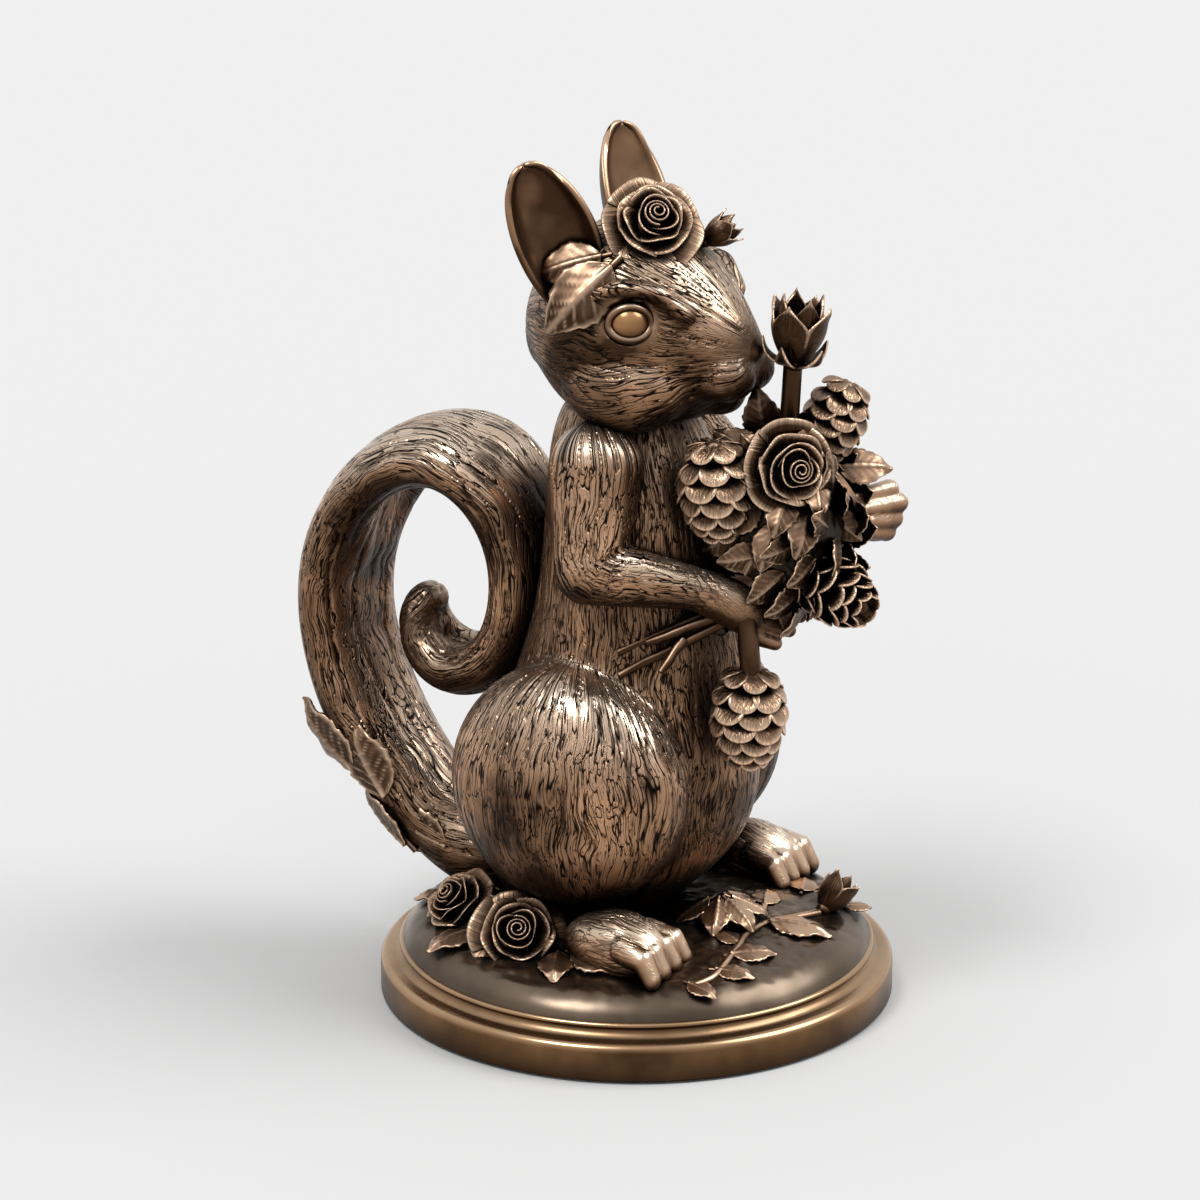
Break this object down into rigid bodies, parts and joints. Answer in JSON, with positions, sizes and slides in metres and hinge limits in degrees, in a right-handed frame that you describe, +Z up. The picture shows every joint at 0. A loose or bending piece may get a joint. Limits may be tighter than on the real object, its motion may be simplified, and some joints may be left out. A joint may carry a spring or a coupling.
{
  "type": "squirrel figurine",
  "caption": "Bronze squirrel ornament sitting on a round domed plinth, with a scroll tail, a bouquet of roses and pine cones in its paws and a rose crown.",
  "frame": {"origin": "centre of the felt resting face under the round plinth", "axes": "+Z up, -Y the way the squirrel looks, -X the squirrel's own right side, +Y towards its tail"},
  "size_m": [0.167, 0.2034, 0.2831],
  "materials": {
    "bronze_fur": "satin",
    "bronze_polished": "polished",
    "bronze_floral": "satin",
    "bronze_base": "satin",
    "steel": "brushed",
    "felt": "felt"
  },
  "bodies": {
    "root": {"plinth": "bronze_base", "felt_pad": "felt", "figure_screws": "steel", "screw_washers": "steel", "torso": "bronze_fur", "neck_dowel": "steel", "tail_dowel": "steel", "head": "bronze_fur", "left_ear": "bronze_fur", "right_ear": "bronze_fur", "left_eye": "bronze_polished", "right_eye": "bronze_polished", "left_arm": "bronze_fur", "right_arm": "bronze_fur", "left_foot": "bronze_fur", "right_foot": "bronze_fur", "tail": "bronze_fur", "tail_sprig": "bronze_floral", "bouquet_core": "bronze_floral", "bouquet_rose": "bronze_floral", "rosebud": "bronze_floral", "pine_cone_left": "bronze_floral", "pine_cone_upper": "bronze_floral", "pine_cone_lower": "bronze_floral", "pine_cone_hanging": "bronze_floral", "twig_bundle": "bronze_floral", "bouquet_leaves": "bronze_floral", "crown_rose": "bronze_floral", "crown_bud": "bronze_floral", "crown_leaf": "bronze_floral", "base_rose_front": "bronze_floral", "base_rose_rear": "bronze_floral", "base_leaves": "bronze_floral", "base_vine": "bronze_floral", "vine_bud": "bronze_floral", "vine_leaves": "bronze_floral", "foliage_cluster": "bronze_floral"}
  },
  "joints": []
}
